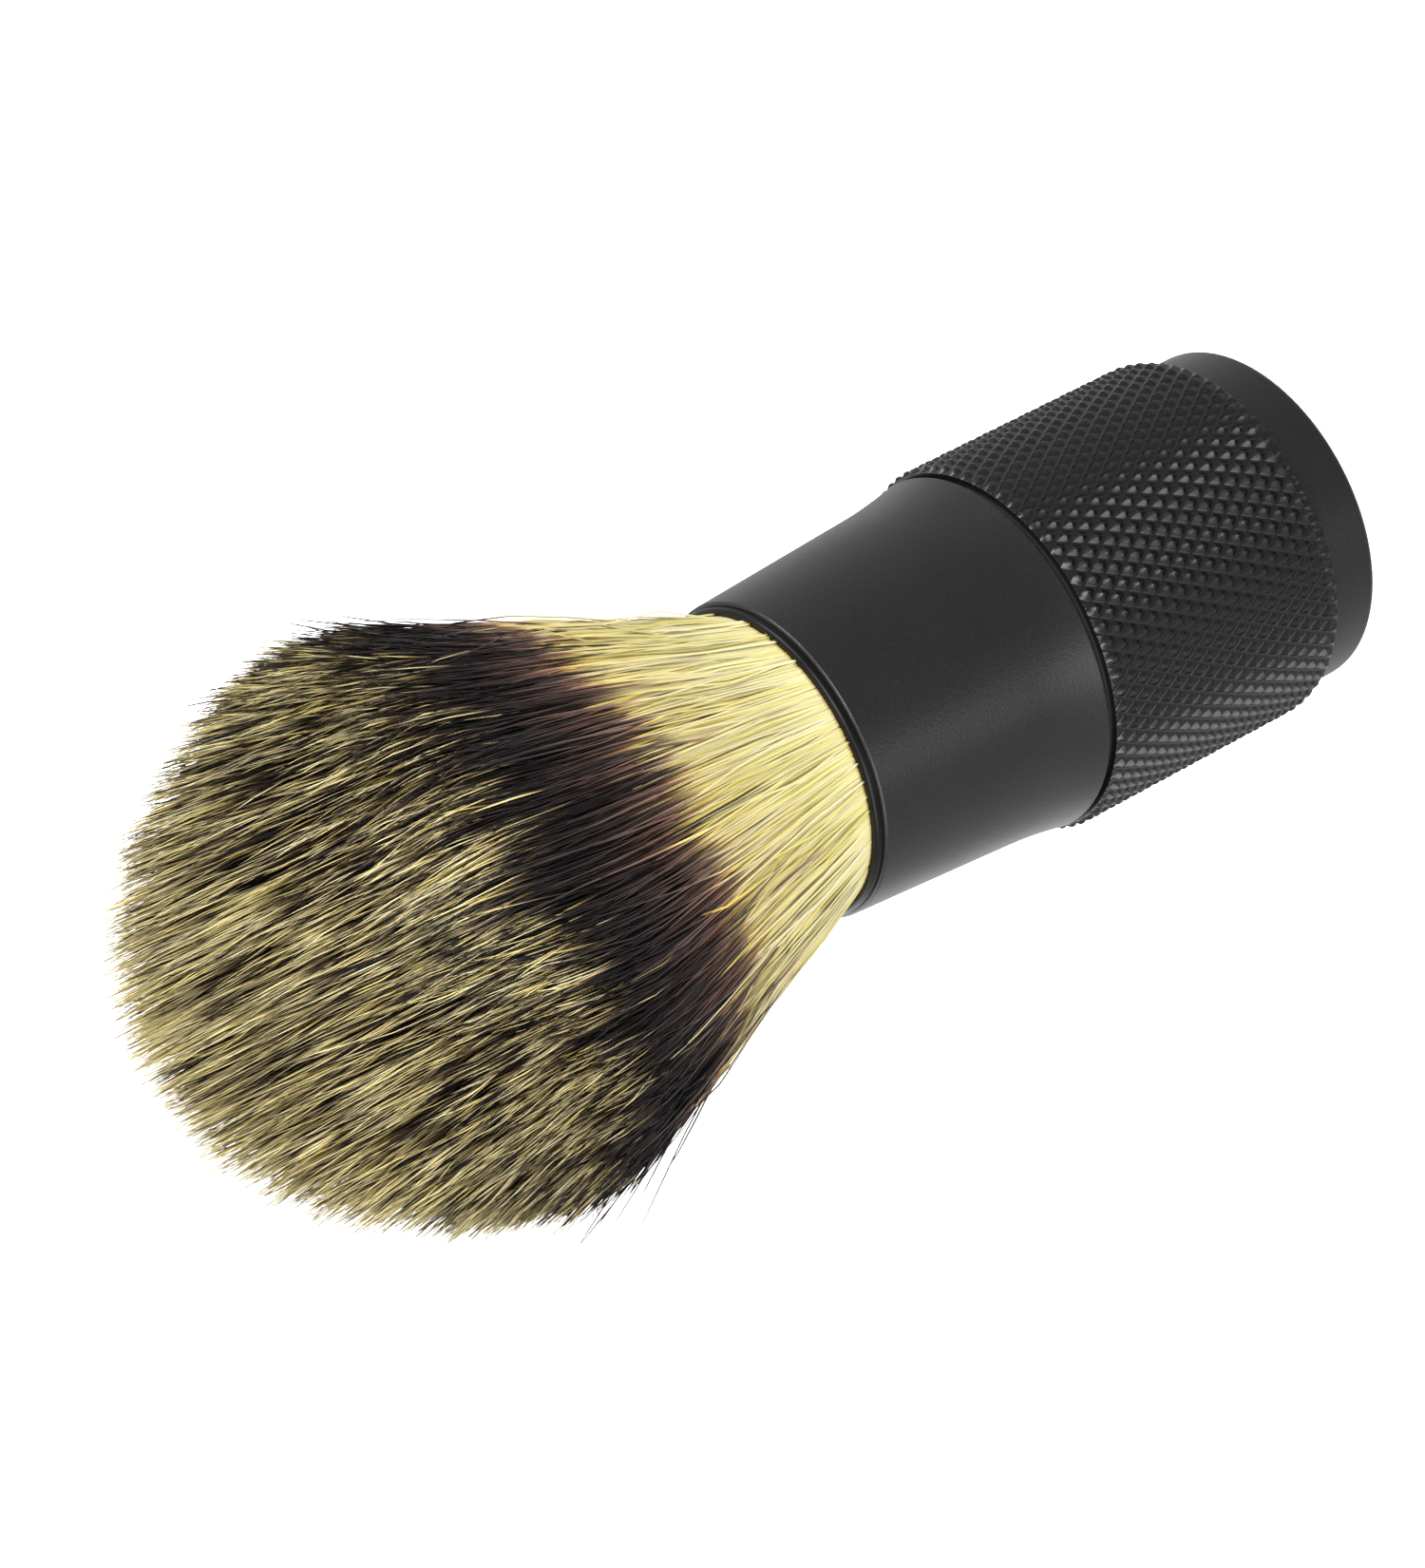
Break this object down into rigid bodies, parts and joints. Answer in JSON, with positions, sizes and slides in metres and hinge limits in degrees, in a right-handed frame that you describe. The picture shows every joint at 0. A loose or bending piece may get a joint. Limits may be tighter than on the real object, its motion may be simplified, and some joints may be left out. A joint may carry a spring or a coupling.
{
  "type": "fade brush",
  "caption": "Barber's fade brush: a domed soft bristle knot in a black conical ferrule that screws onto a short diamond-knurled grip with a flat end cap.",
  "frame": {"origin": "centre of the end cap's flat face, which the brush stands on", "axes": "+Z along the brush's axis, from the end cap to the bristle tips"},
  "size_m": [0.0457, 0.0456, 0.1048],
  "materials": {
    "bristle_fibre": "soft three-tone fibre, cream root, dark middle, tan tip",
    "potting_resin": "cast resin",
    "cup_plastic": "black, moulded with a soft sheen",
    "satin_aluminium": "bead-blasted, black anodised, satin",
    "knurled_aluminium": "knurled, black anodised",
    "washer_nylon": "matte black",
    "stud_steel": "zinc-plated thread"
  },
  "bodies": {
    "handle": {"end_cap": "satin_aluminium", "grip_sleeve": "knurled_aluminium", "tie_stud": "stud_steel"},
    "washer": {"seam_washer": "washer_nylon"},
    "head": {"ferrule": "satin_aluminium", "knot_cup": "cup_plastic", "resin_plug": "potting_resin", "bristles": "bristle_fibre"}
  },
  "joints": [
    {"name": "head_draw", "type": "slide", "parent": "handle", "child": "washer", "axis": [0, 0, 1], "range_m": [0, 0.006]},
    {"name": "head_unscrew", "type": "hinge", "parent": "washer", "child": "head", "pos_m": [0, 0, 0.02795], "axis": [0, 0, 1], "range_deg": [0, 2160]}
  ],
  "couplings": [
    {"joint": "head_draw", "follows": "head_unscrew", "m_per_rad": 0.00015915}
  ]
}
